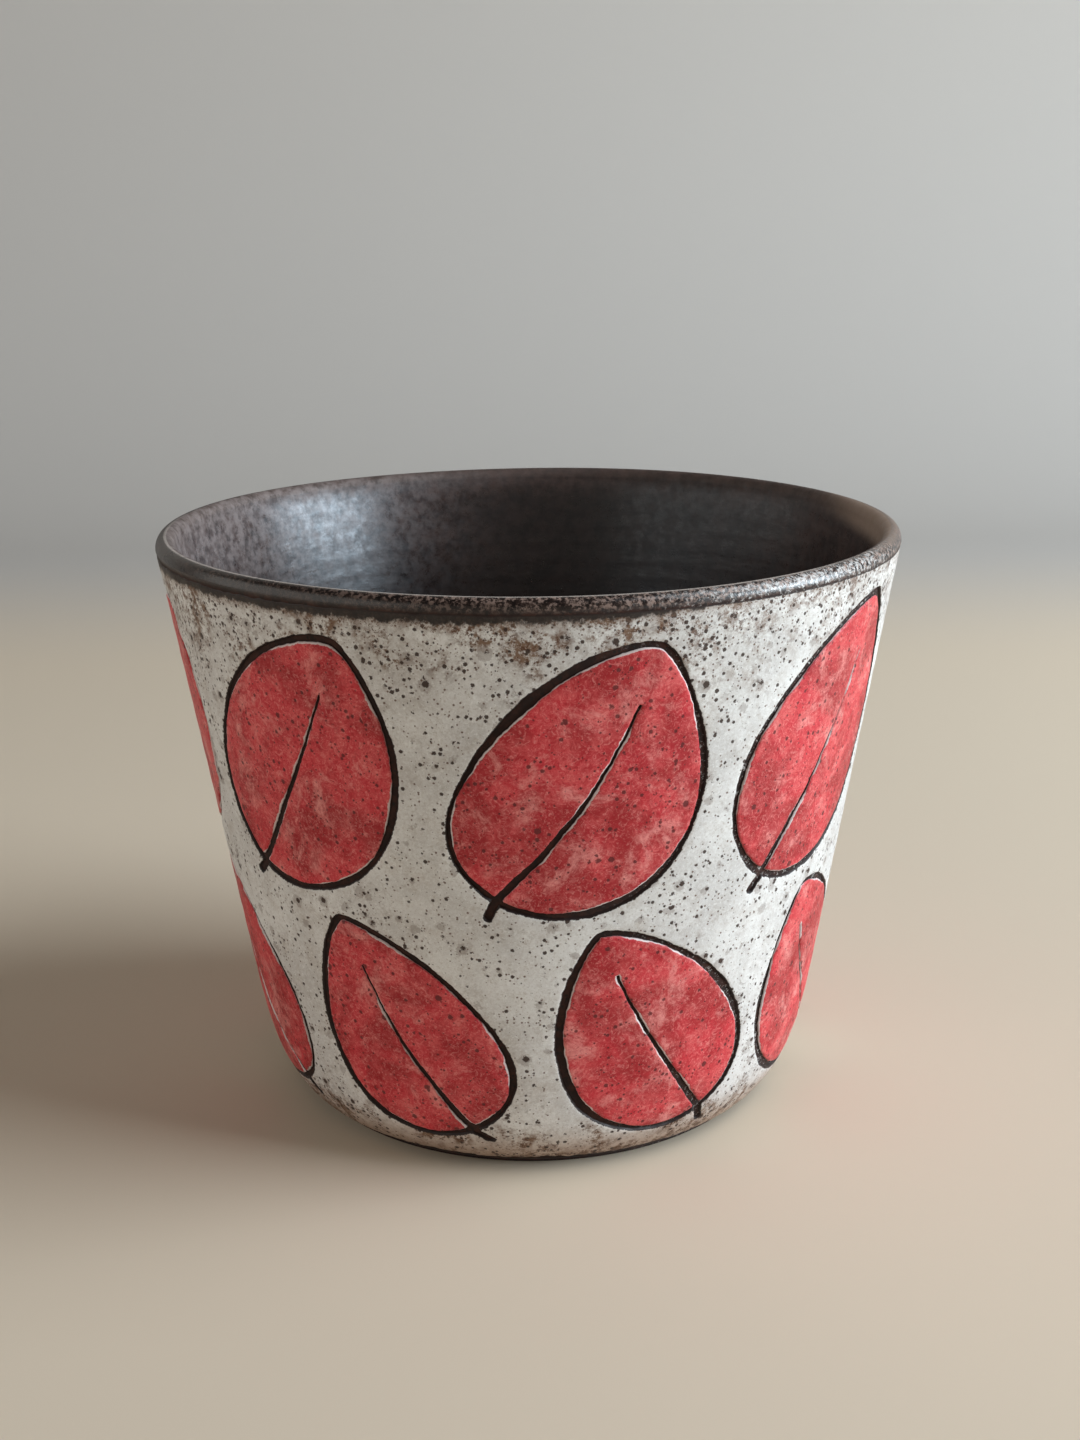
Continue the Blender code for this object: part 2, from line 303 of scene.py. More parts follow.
def ragged(loop, seed):
    """The loop with the slow waver of a hand and the fine crumbling of clay under a carving tool."""
    moved = loop.copy()
    for size, depth in RAGGED:
        for i, (x, y) in enumerate(loop):
            stray = noise.noise_vector(Vector((x / size, y / size, seed + size / MM)))
            moved[i] += depth * np.array(stray[:2])
    return moved


def tiled(loops, points):
    """Triangles over the region inside the first loop and outside the others, through all points."""
    every = np.vstack([*loops, points])
    scale = 40 / np.abs(every).max()
    edges = []
    start = 0
    for loop in loops:
        count = len(loop)
        edges += [(start + i, start + (i + 1) % count) for i in range(count)]
        start += count
    found = delaunay_2d_cdt([Vector(p) for p in every * scale], edges, [], 0, 1e-7)
    source = found[3]
    triangles = np.array([[source[v][0] for v in face] for face in found[2]])
    doubtful = np.flatnonzero((triangles < start).all(1))
    middles = every[triangles[doubtful]].mean(1)
    wanted = inside(middles, loops[0])
    for loop in loops[1:]:
        near = np.flatnonzero(wanted & (np.abs(middles - loop.mean(0)).max(1) < np.ptp(loop, axis=0).max()))
        wanted[near] &= ~inside(middles[near], loop)
    keep = np.ones(len(triangles), bool)
    keep[doubtful] = wanted
    return triangles[keep]


# Leaves


class Leaf:
    """One leaf as it was carved: its row's size and place, with the small ways in which it strays."""

    def __init__(self, row, index, low, high, lean, turn):
        self.name = f"{row}_leaf_{index + 1}"
        self.seed = index * 7.3 + (100 if row == "lower" else 0)
        draw = random.Random(self.name)

        def stray(most):
            return draw.uniform(-most, most)

        self.height = (low + high) / 2
        self.radius = float(wall_radius(self.height))
        pitch = 2 * math.pi * self.radius / LEAF_COUNT
        self.half_width = (pitch * math.cos(LEAF_TILT) - 2 * LINE_WIDTH - WHITE_GAP) / 2
        self.half_width += stray(STRAY_PLACE)
        self.length = (high - low) / math.cos(LEAF_TILT) - STALK_LENGTH + stray(STRAY_PLACE)
        self.tilt = lean * LEAF_TILT + stray(STRAY_TILT)
        self.turn = turn + 2 * math.pi * index / LEAF_COUNT + stray(STRAY_PLACE) / self.radius
        self.bend = -lean * LEAF_BEND + stray(STRAY_BEND)
        self.roundness = BASE_ROUNDNESS * (1 + stray(STRAY_SHAPE))
        self.sharpness = TIP_SHARPNESS * (1 + stray(STRAY_SHAPE))
        self.base = (STALK_LENGTH - self.length) / 2
        self.stalk_bend = stray(STRAY_STALK)
        self.heavy_side = draw.choice((0.2, 0.35, 0.65, 0.8))

    def middle(self, share):
        """The rib line at a share of the length: a shallow bow to one side."""
        return np.column_stack([self.bend * np.sin(np.pi * share), self.base + self.length * share])

    def spread(self, share):
        """Half the leaf's width there: round at the base and pointed at the tip."""
        widest = self.roundness / (self.roundness + self.sharpness)
        low = (share / widest) ** self.roundness
        return self.half_width * low * ((1 - share) / (1 - widest)) ** self.sharpness

    def margin(self):
        """The leaf's whole outline, anticlockwise from its base."""
        share = (1 - np.cos(np.linspace(0, np.pi, 120))) / 2
        middle = self.middle(share)
        out = np.column_stack([self.spread(share), np.zeros_like(share)])
        return np.vstack([middle + out, (middle - out)[-2:0:-1]])

    def window(self):
        """Outline of the hole in the slip, anticlockwise: the leaf, its carved line and its stalk."""
        leaf = resampled(self.margin(), LINE_STEP)
        around = np.arange(len(leaf)) / len(leaf)
        heavy = np.exp(-(((around - self.heavy_side) / 0.09) ** 2))
        width = LINE_WIDTH * (0.68 + 0.12 * np.sin(4 * np.pi * around + self.seed) + 0.36 * heavy)
        grown = leaf - left_normals(leaf) * width[:, None]
        half = STALK_WIDTH / 2
        grown = grown[(np.abs(grown[:, 0]) > half) | (grown[:, 1] > 0)]
        top = self.base - 0.6 * LINE_WIDTH
        low = self.base - STALK_LENGTH
        stalk = [(-half, top), (self.stalk_bend - half, low), (self.stalk_bend, low - 0.2 * MM)]
        stalk += [(self.stalk_bend + half, low), (half, top)]
        return ragged(resampled(np.vstack([stalk, grown]), LINE_STEP), self.seed)

    def island(self):
        """Outline of the red leaf, anticlockwise, slit from its base along the rib."""
        share = np.linspace(0, RIB_REACH, 30)
        rib = self.middle(share)
        width = np.maximum(RIB_WIDTH * (1 - share / RIB_REACH) ** 0.8, RIB_END)
        half = np.column_stack([width / 2, np.zeros_like(share)])
        tip = rib[-1] + (0, RIB_END)
        slit = np.vstack([rib - half, tip, (rib + half)[::-1]])
        margin = self.margin()
        clear = (np.abs(margin[:, 0]) > RIB_WIDTH * 0.7) | (margin[:, 1] > 0)
        return ragged(resampled(np.vstack([slit, margin[clear]]), LINE_STEP), self.seed + 50)

    def to_wall(self, points):
        """Angle and height on the wall of points in the leaf's plane, which touches the wall there."""
        lean = math.atan2(RIM_RADIUS - HEEL_RADIUS, LIP_BASE - HEEL_HEIGHT)
        across = points[:, 0] * math.cos(self.tilt) - points[:, 1] * math.sin(self.tilt)
        up = points[:, 0] * math.sin(self.tilt) + points[:, 1] * math.cos(self.tilt)
        depth = np.zeros(len(points))
        for _ in range(6):
            z = self.height + up * math.cos(lean) - depth * math.sin(lean)
            reach = np.sqrt(wall_radius(z) ** 2 - across**2)
            depth = (reach - self.radius - up * math.sin(lean)) / math.cos(lean)
        return np.column_stack([self.turn + np.arctan2(across, reach), z])


def leaves():
    """The upper row, leaning right, and the lower row, leaning left."""
    low = BARE_FOOT + BOTTOM_MARGIN
    high = HEIGHT - BARE_RIM - TOP_MARGIN
    parting = high - UPPER_ROW_SHARE * (high - low - ROW_GAP)
    upper = [Leaf("upper", i, parting, high, -1, UPPER_ROW_TURN) for i in range(LEAF_COUNT)]
    lower = [Leaf("lower", i, low, parting - ROW_GAP, 1, LOWER_ROW_TURN) for i in range(LEAF_COUNT)]
    return upper + lower


# Meshes


def mesh_piece(name, vertices, faces, material, node):
    """A smooth piece that stands for a node, rides on the cup and has one material."""
    mesh = bpy.data.meshes.new(name)
    mesh.from_pydata(vertices, [], faces)
    mesh.materials.append(material)
    mesh.shade_smooth()
    piece = bpy.data.objects.new(name, mesh)
    bpy.context.scene.collection.objects.link(piece)
    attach(piece, "root")
    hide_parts(node)
    return piece


def coat_piece(name, triangles, place, edge, material, node):
    """A closed skin of slip over the clay: its outer face, its back just in the clay, and a rim."""
    angles, heights = place.T
    raised = np.interp(edge, EDGE_RINGS, EDGE_HEIGHTS)
    front = on_wall(angles, heights, raised, sink=SINK * 0.4 * (edge <= 0))
    back = on_wall(angles, heights, np.zeros_like(raised), sink=SINK * 2)
    a, b, c = (front[triangles[:, k]] for k in range(3))
    facing = (np.cross(b - a, c - a) * (a + b + c) * (1, 1, 0)).sum()
    if facing < 0:
        triangles = triangles[:, ::-1]
    count = len(front)
    sides = np.concatenate([triangles[:, [0, 1]], triangles[:, [1, 2]], triangles[:, [2, 0]]])
    sorted_sides = np.sort(sides, axis=1)
    _, first, uses = np.unique(sorted_sides, axis=0, return_index=True, return_counts=True)
    border = sides[first[uses == 1]]
    rim = [(b, a, a + count, b + count) for a, b in border.tolist()]
    faces = triangles.tolist() + (triangles[:, ::-1] + count).tolist() + rim
    piece = mesh_piece(name, np.vstack([front, back]), faces, material, node)
    mesh = piece.data
    distance = mesh.attributes.new("edge", "FLOAT", "POINT")
    distance.data.foreach_set("value", np.tile(edge / MM, 2).astype(np.float32))
    mark_rim_sharp(mesh, {tuple(sorted(side)) for side in border.tolist()})
    return piece


def mark_rim_sharp(mesh, sides):
    """Keeps the light on the outer face from bending round the rim into the clay."""
    sharp = mesh.attributes.new("sharp_edge", "BOOLEAN", "EDGE")
    flags = [tuple(sorted(edge.vertices)) in sides for edge in mesh.edges]
    sharp.data.foreach_set("value", flags)


def leaf_piece(leaf, material):
    """The red skin of one leaf, within its carved line."""
    outline = leaf.island()
    rings = [ring(outline, distance) for distance in EDGE_RINGS[1:]]
    field = field_points(outline)
    points = np.vstack([*rings, field])
    triangles = tiled([outline], points)
    every = np.vstack([outline, points])
    edge = np.concatenate(
        [np.zeros(len(outline))]
        + [np.full(len(r), distance) for r, distance in zip(rings, EDGE_RINGS[1:])]
        + [np.full(len(field), FAR_FROM_EDGE)]
    )
    place = leaf.to_wall(every)
    return coat_piece(f"red_{leaf.name}", triangles, place, edge, material, leaf.name)


def field_points(outline):
    """A staggered grid of points inside an outline, clear of the rings beside it."""
    low, high = outline.min(0), outline.max(0)
    rows = np.arange(low[1], high[1], FIELD_STEP * 0.87)
    columns = np.arange(low[0], high[0], FIELD_STEP)
    grid = np.array([(x + FIELD_STEP / 2 * (i % 2), y) for i, y in enumerate(rows) for x in columns])
    grid = grid[inside(grid, outline)]
    return grid[distance_to(grid, outline) > EDGE_RINGS[-1] + FIELD_STEP * 0.4]


def waver(theta, size, depth, seed):
    """A ragged line round the cup: its stray up or down at each angle."""
    reach = RIM_RADIUS / size
    places = [Vector((math.cos(t) * reach, math.sin(t) * reach, seed)) for t in theta]
    return depth * np.array([noise.noise(place) for place in places])


def rolled_out(place):
    """A flat map of the wall as a ring round the axis, which keeps the shape of small things."""
    reach = np.exp(place[:, 1] / (40 * MM))
    return np.column_stack([reach * np.cos(place[:, 0]), reach * np.sin(place[:, 0])])


def border_rings(height, way, seed, rise=0.0):
    """The slip's edge round the cup at a height, and the rings beside it on the way into the coat."""
    theta = np.linspace(0, 2 * np.pi, BORDER_POINTS, endpoint=False)
    stray = waver(theta, 6 * MM, SLIP_STRAY, seed) + waver(theta, 1.2 * MM, SLIP_STRAY, seed + 9)
    stray = stray + rise * (0.5 + 0.5 * np.cos(theta - HIGHEST_SLIP)) ** 2.2
    edge = np.minimum(height + stray, LIP_BASE - 0.25 * MM)
    return [np.column_stack([theta, edge + way * distance]) for distance in EDGE_RINGS]


def slip_piece(all_leaves, material):
    """The white coat of the whole wall, with a window for each leaf."""
    top = border_rings(SLIP_TOP, -1, 3.1, rise=SLIP_RISE)
    bottom = border_rings(BARE_FOOT, 1, 5.7)
    windows = [(leaf, leaf.window()) for leaf in all_leaves]
    field = wall_grid(BARE_FOOT + SLIP_FADE, HEIGHT - BARE_RIM + SLIP_RISE)
    field = field[field[:, 1] < np.interp(field[:, 0], *top[-1].T, period=2 * np.pi) - 0.4 * MM]
    for leaf, window in windows:
        field = field[clear_of(field, leaf, window)]
    loops = [top[0], bottom[0]] + [leaf.to_wall(window) for leaf, window in windows]
    parts = [(loop, 0.0) for loop in loops]
    for i, distance in enumerate(EDGE_RINGS[1:], 1):
        parts += [(top[i], distance), (bottom[i], distance)]
        parts += [(leaf.to_wall(ring(window, -distance)), distance) for leaf, window in windows]
    parts.append((field, FAR_FROM_EDGE))
    place = np.vstack([points for points, _ in parts])
    edge = np.concatenate([np.full(len(points), distance) for points, distance in parts])
    flat = [rolled_out(points) for points, _ in parts]
    triangles = tiled(flat[: len(loops)], np.vstack(flat[len(loops) :]))
    return coat_piece("carved_slip", triangles, place, edge, material, "slip_coat")


def wall_grid(low, high):
    """A staggered grid of angles and heights over the wall."""
    rows = []
    for i, z in enumerate(np.arange(low, high, FIELD_STEP * 0.87)):
        count = round(2 * math.pi * float(wall_radius(z)) / FIELD_STEP)
        theta = (np.arange(count) + 0.5 * (i % 2)) * 2 * np.pi / count
        rows.append(np.column_stack([theta, np.full(count, z)]))
    return np.vstack(rows)


def clear_of(field, leaf, window):
    """Which grid points lie well outside a leaf's window. Nearby, the wall is measured as flat."""
    place = leaf.to_wall(window)
    centre = leaf.turn
    turn = (field[:, 0] - centre + np.pi) % (2 * np.pi) - np.pi
    local = np.column_stack([turn * leaf.radius, field[:, 1]])
    loop = np.column_stack([(place[:, 0] - centre) * leaf.radius, place[:, 1]])
    keep = np.ones(len(field), bool)
    room = EDGE_RINGS[-1] + FIELD_STEP * 0.4
    near = ((local > loop.min(0) - room) & (local < loop.max(0) + room)).all(1)
    close = np.flatnonzero(near)
    keep[close] = ~inside(local[close], loop) & (distance_to(local[close], loop) > room)
    return keep


def turned_piece(name, section, material, node):
    """A closed solid of revolution from a section that starts and ends on the axis."""
    count = TURNED_SEGMENTS
    theta = np.linspace(0, 2 * np.pi, count, endpoint=False)
    rings = []
    for r, z in section[1:-1]:
        radius, level = hand_thrown(theta, np.full(count, r), np.full(count, z))
        radius = radius + thrown_rings(theta, z, node)
        rings.append(np.column_stack([radius * np.cos(theta), radius * np.sin(theta), level]))
    ends = [(0, 0, section[0][1]), (0, 0, section[-1][1])]
    vertices = np.vstack([*rings, ends])
    first, last = len(vertices) - 2, len(vertices) - 1
    faces = []
    for k in range(count):
        after = (k + 1) % count
        faces.append((first, k, after))
        for row in range(len(rings) - 1):
            a, b = row * count + k, row * count + after
            faces.append((a, a + count, b + count, b))
        start = (len(rings) - 1) * count
        faces.append((start + after, start + k, last))
    return mesh_piece(name, vertices, faces, material, node)


def thrown_rings(theta, z, node):
    """The low spiral that the potter's fingers leave on the inside of the wall."""
    if node != "liner_glaze":
        return 0.0
    depth = THROWING_RINGS * ease(z, 9 * MM, 20 * MM) * (1 - ease(z, HEIGHT - 6 * MM, HEIGHT - 3.5 * MM))
    turns = z / THROWING_PITCH * 2 * np.pi + theta
    return depth * (np.sin(turns) + 0.4 * np.sin(2.3 * turns + 1.0 + 0.6 * np.sin(theta)))


def lip_arc(start, end, steps):
    """Section of the lip between two angles, from 180 degrees at its inner side to 0 at its outer side."""
    angle = np.radians(np.linspace(start, end, steps + 1))
    centre = RIM_RADIUS - LIP_WIDTH / 2
    return np.column_stack([centre + LIP_WIDTH / 2 * np.cos(angle), LIP_BASE + LIP_HEIGHT * np.sin(angle)])


def body_section():
    """Section of the clay: inside under the glaze, lip, outside under the slip, foot and recess."""
    under = INSIDE + normals_of(INSIDE) * GLAZE_THICKNESS
    under = under[under[:, 1] < GLAZE_BACK_TOP][::4]
    below_lip = LIP_BASE - 6 * MM
    stretches = ((LIP_BASE, below_lip, 36), (below_lip, HEEL_HEIGHT, 20), (HEEL_HEIGHT, FOOT_EDGE, 30))
    height = np.concatenate([np.linspace(*stretch)[1:] for stretch in stretches])
    normal = np.column_stack([np.interp(height, OUTSIDE[:, 1], OUTSIDE_NORMALS[:, k]) for k in (0, 1)])
    wall = np.column_stack([wall_radius(height), height]) - normal * carve_room(height)[:, None]
    outer = wall[-1][0] - 0.1 * MM
    inner = outer - FOOT_RING_WIDTH
    foot = rounded([(outer, FOOT_EDGE), (outer - FOOT_EDGE, 0)], (outer - 0.1 * MM, 0.05 * MM))
    foot += rounded([(inner + FOOT_EDGE, 0), (inner, FOOT_EDGE)], (inner + 0.1 * MM, 0.05 * MM))
    slope_top, recess_floor = ((inner - k * RECESS_SLOPE, RECESS_DEPTH) for k in (1, 3))
    recess = fair_curve((inner, FOOT_EDGE), slope_top, recess_floor, (0.8, 0.8), 10)
    middle = straight(recess[-1], (AXIS_RING, RECESS_DEPTH), 12)
    start = [(0, under[0][1]), (AXIS_RING, under[0][1]), (FLOOR_RADIUS / 2, under[0][1])]
    parts = [start, under, lip_arc(180, 0, 32), wall, foot, recess[1:], middle, [(0, RECESS_DEPTH)]]
    return np.vstack(parts)


def rounded(ends, corner):
    """A short curve between two ends, drawn towards a corner."""
    return fair_curve(ends[0], corner, ends[1], (0.55, 0.55), 6).tolist()


def liner_section():
    """Section of the glaze: up the wall, thinning to nothing over the lip's slope, and its back."""
    face = np.vstack([INSIDE, lip_arc(180, GLAZE_END, 10)[1:]])
    proud = 1 - 1.6 * ease(face[:, 1], LIP_BASE - 0.4 * MM, face[-1][1])
    face = face - normals_of(face) * (0.03 * MM * proud * ease(face[:, 1], FLOOR_HEIGHT, 20 * MM))[:, None]
    back = (INSIDE + normals_of(INSIDE) * (GLAZE_THICKNESS + SINK))[::6]
    back = back[back[:, 1] < GLAZE_BACK_TOP][::-1]
    floor = straight((AXIS_RING, FLOOR_HEIGHT), (FLOOR_RADIUS, FLOOR_HEIGHT), 24)[:-1]
    below = [(radius, back[-1][1]) for radius in (FLOOR_RADIUS / 2, AXIS_RING, 0)]
    end = [(face[-1][0] + 0.3 * MM, face[-1][1] - 0.3 * MM)]
    return np.vstack([[(0, FLOOR_HEIGHT), (AXIS_RING, FLOOR_HEIGHT)], floor, face, end, back, below])


# Materials


def srgb(red, green, blue):
    """A colour as a screen shows it, from 0 to 255, as linear values."""
    linear = [((c / 255 + 0.055) / 1.055) ** 2.4 if c > 10 else c / 255 / 12.92 for c in (red, green, blue)]
    return (*linear, 1)


SLIP_WHITE = srgb(236, 236, 234)
SLIP_LIGHT = srgb(222, 221, 219)
SLIP_SHADE = srgb(202, 200, 198)
SLIP_WARM = srgb(172, 160, 148)
STAIN = srgb(120, 94, 76)
# Warm stain at the foot, partly painted bounced light
FOOT_STAIN_AND_BOUNCE = srgb(154, 112, 76)
IRON_BROWN = srgb(88, 56, 36)
IRON_DARK = srgb(48, 27, 18)
LINE_DARK = srgb(30, 10, 5)
LINE_BROWN = srgb(56, 27, 17)
CLAY_DARK = srgb(22, 14, 12)
CLAY_BROWN = srgb(48, 35, 30)
# Pale clay of the lip, partly painted light
CLAY_PALE_AND_LIT = srgb(146, 124, 114)
# Painted highlight along the crest of the lip
CREST_HIGHLIGHT = srgb(176, 164, 156)
RED_DEEP = srgb(156, 12, 26)
RED_MIDDLE = srgb(200, 44, 56)
RED_CORAL = srgb(216, 92, 92)
RED_PALE = srgb(230, 150, 144)
RED_SPECK = srgb(84, 16, 20)
GLAZE_DARK = srgb(42, 29, 26)
GLAZE_BROWN = srgb(68, 50, 45)
# Pale glaze mottle, and painted light on the left inner wall
GLAZE_PALE_AND_LIT = srgb(122, 110, 107)
# Glaze breaking pale at the lip, and painted light on the lip at the far right
GLAZE_BREAK_AND_LIT = srgb(116, 96, 84)
# Painted light on the inner rim at the far right
GLAZE_LIT_EDGE = srgb(158, 136, 120)
# Painted shade for the deep inside of the cup and its back wall
GLAZE_PAINTED_SHADE = srgb(16, 10, 9)
FLOOR_WARM = srgb(214, 199, 178)
BACKDROP_GREY = srgb(190, 186, 181)

# How deep the bump of each skin is, and the tint of the glaze's shine
SKIN_RELIEF = 0.05 * MM
GLAZE_RELIEF = 0.04 * MM
GLAZE_TINT = (0.84, 0.93, 1.0, 1.0)


class Finish:
    """A node material built by plain calls, each of which returns a socket."""

    def __init__(self, name):
        self.material = bpy.data.materials.new(name)
        self.material.use_nodes = True
        self.tree = self.material.node_tree
        self.shader = self.tree.nodes["Principled BSDF"]
        self.place = self.node("ShaderNodeTexCoord").outputs["Object"]
        self.x, self.y, self.z = self.node("ShaderNodeSeparateXYZ", {0: self.place}).outputs

    def node(self, kind, inputs=None, **settings):
        """A new node with these settings, its inputs set to values or linked to sockets."""
        made = self.tree.nodes.new(kind)
        for key, value in settings.items():
            setattr(made, key, value)
        for key, value in (inputs or {}).items():
            self.put(value, made.inputs[key])
        return made

    def put(self, value, socket):
        if isinstance(value, bpy.types.NodeSocket):
            self.tree.links.new(value, socket)
        else:
            socket.default_value = value

    def math(self, operation, a, b):
        return self.node("ShaderNodeMath", {0: a, 1: b}, operation=operation).outputs[0]

    def vector(self, operation, a, b):
        return self.node("ShaderNodeVectorMath", {0: a, 1: b}, operation=operation).outputs[0]

    def times(self, first, *others):
        for other in others:
            first = self.math("MULTIPLY", first, other)
        return first

    def plus(self, first, *others):
        for other in others:
            first = self.math("ADD", first, other)
        return first

    def most(self, a, b):
        return self.math("MAXIMUM", a, b)

    def ease(self, value, low, high, start=0.0, end=1.0):
        """Runs smoothly from start to end as value goes from low to high."""
        inputs = {"Value": value, "From Min": low, "From Max": high, "To Min": start, "To Max": end}
        return self.node("ShaderNodeMapRange", inputs, interpolation_type="SMOOTHSTEP").outputs[0]

    def blend(self, share, a, b):
        """A colour that runs from a to b with share."""
        inputs = {0: share, 6: a, 7: b}
        return self.node("ShaderNodeMix", inputs, data_type="RGBA").outputs[2]

    def between(self, share, a, b):
        """A value that runs from a to b with share."""
        return self.node("ShaderNodeMix", {0: share, 2: a, 3: b}).outputs[0]

    def moved(self, seed):
        """The place in the cup, shifted so that each pattern has its own lie."""
        return self.vector("ADD", self.place, (seed * 0.013, seed * 0.007, seed * 0.011))

    def cloud(self, size, detail=3.0, roughness=0.55, seed=0.0, distortion=0.0):
        """Soft noise whose blots are about the given size, from 0 to 1."""
        inputs = {
            "Vector": self.moved(seed),
            "Scale": 1 / size,
            "Detail": detail,
            "Roughness": roughness,
            "Distortion": distortion,
        }
        return self.node("ShaderNodeTexNoise", inputs).outputs[0]

    def specks(self, cell, radius, share, seed):
        """Round specks of varied size, at most radius, in a share of the cells: 1 inside, 0 outside."""
        inputs = {"Vector": self.moved(seed + 3), "Scale": 3 / radius, "Detail": 1.0}
        jitter = self.node("ShaderNodeTexNoise", inputs).outputs[1]
        inputs = {0: jitter, 3: 0.8 * radius}
        wobble = self.node("ShaderNodeVectorMath", inputs, operation="SCALE").outputs[0]
        inputs = {"Vector": self.vector("ADD", self.moved(seed), wobble), "Scale": 1 / cell}
        cells = self.node("ShaderNodeTexVoronoi", inputs).outputs
        parts = self.node("ShaderNodeSeparateColor", {0: cells["Color"]}).outputs
        size = self.ease(parts[0], 0.0, 1.0, 0.35 * radius / cell, radius / cell)
        chosen = self.math("LESS_THAN", parts[1], share)
        depth = self.math("SUBTRACT", size, cells["Distance"])
        return self.times(self.ease(depth, 0.0, 0.22 * radius / cell), chosen)

    def radius(self):
        """Distance from the cup's axis."""
        flat = self.vector("MULTIPLY", self.place, (1, 1, 0))
        return self.node("ShaderNodeVectorMath", {0: flat}, operation="LENGTH").outputs[1]

    def edge(self):
        """Distance from the nearest carved edge, in millimetres."""
        return self.node("ShaderNodeAttribute", attribute_name="edge").outputs["Fac"]

    def bump(self, height, distance):
        inputs = {"Height": height, "Distance": distance, "Strength": 1.0}
        return self.node("ShaderNodeBump", inputs).outputs[0]

    def finish(self, color, roughness, normal, **constants):
        """Puts the sockets and constants on the shader and returns the material."""
        self.put(color, self.shader.inputs["Base Color"])
        self.put(roughness, self.shader.inputs["Roughness"])
        self.put(normal, self.shader.inputs["Normal"])
        for name, value in constants.items():
            self.shader.inputs[name.replace("_", " ")].default_value = value
        return self.material


def iron(f, busy):
    """Iron specks in three sizes, and the brown that has bled round the larger ones."""
    fine = f.specks(0.40 * MM, 0.15 * MM, f.times(busy, 0.75), 1)
    middle = f.specks(0.70 * MM, 0.28 * MM, f.times(busy, 0.85), 2)
    coarse = f.specks(1.6 * MM, 0.45 * MM, f.times(busy, 0.50), 4)
    bleed = f.specks(1.6 * MM, 0.95 * MM, f.times(busy, 0.50), 4)
    return fine, f.most(middle, coarse), bleed


def iron_patches(f):
    """Where the iron specks crowd."""
    return f.ease(f.cloud(5 * MM, 2.0, seed=11), 0.40, 0.60)


def skin_height(f, fine, large, depth):
    """Relief of a thin skin: slow unevenness and a fine grain, with the large specks a little sunk."""
    slow = f.cloud(1.4 * MM, 3.0, seed=8)
    return f.plus(f.times(fine, 0.35), f.times(slow, 0.8), f.times(large, -depth))


def slip_ground(f, grain):
    """The slip's own colour: cloudy off-white with a fine grain, warmer where it lies thin."""
    color = f.blend(f.ease(f.cloud(9 * MM, 4.0, seed=1), 0.35, 0.65), SLIP_LIGHT, SLIP_SHADE)
    warm = f.times(f.ease(f.cloud(4 * MM, 5.0, 0.65, seed=2), 0.50, 0.72), 0.35)
    color = f.blend(warm, color, SLIP_WARM)
    color = f.blend(f.ease(grain, 0.50, 0.70, 0.0, 0.60), color, SLIP_WARM)
    return f.blend(f.ease(grain, 0.48, 0.34, 0.0, 0.60), color, SLIP_WHITE)


def stained(f, color, area):
    """A warm stain at the foot, partly real stain and partly painted warm light bounced up from the table,
    and brown washes with darker cores over an area.
    """
    # Warm foot tone: partly real stain, partly painted bounced light.
    color = f.blend(f.ease(f.z, 8 * MM, 1 * MM, 0.0, 0.72), color, FOOT_STAIN_AND_BOUNCE)
    wash = f.ease(f.cloud(1.5 * MM, 7.0, 0.75, seed=6), 0.45, 0.62)
    color = f.blend(f.times(wash, area, 0.90), color, STAIN)
    core = f.ease(f.cloud(0.9 * MM, 7.0, 0.75, seed=12), 0.52, 0.62)
    return f.blend(f.times(core, area, 0.85), color, IRON_BROWN)


def torn_under_lip(f, color, to_right):
    """The dark torn edge just under the lip with its brown halo, narrower at the right."""
    tears = f.plus(f.cloud(2.4 * MM, 3.0, seed=14), f.times(f.cloud(0.6 * MM, 5.0, 0.75, seed=15), 1.2))
    torn = f.plus(f.z, f.times(tears, 1.5 * MM), f.times(to_right, -1.2 * MM))
    halo = f.ease(torn, HEIGHT - 2.2 * MM, HEIGHT - 1.1 * MM)
    color = f.blend(f.times(halo, 0.55), color, STAIN)
    smear = f.ease(torn, HEIGHT - 1.55 * MM, HEIGHT - 1.05 * MM)
    grit = f.ease(f.cloud(0.5 * MM, 5.0, 0.75, seed=16), 0.42, 0.66)
    return f.blend(f.times(smear, 0.97), color, f.blend(grit, CLAY_DARK, CLAY_BROWN))


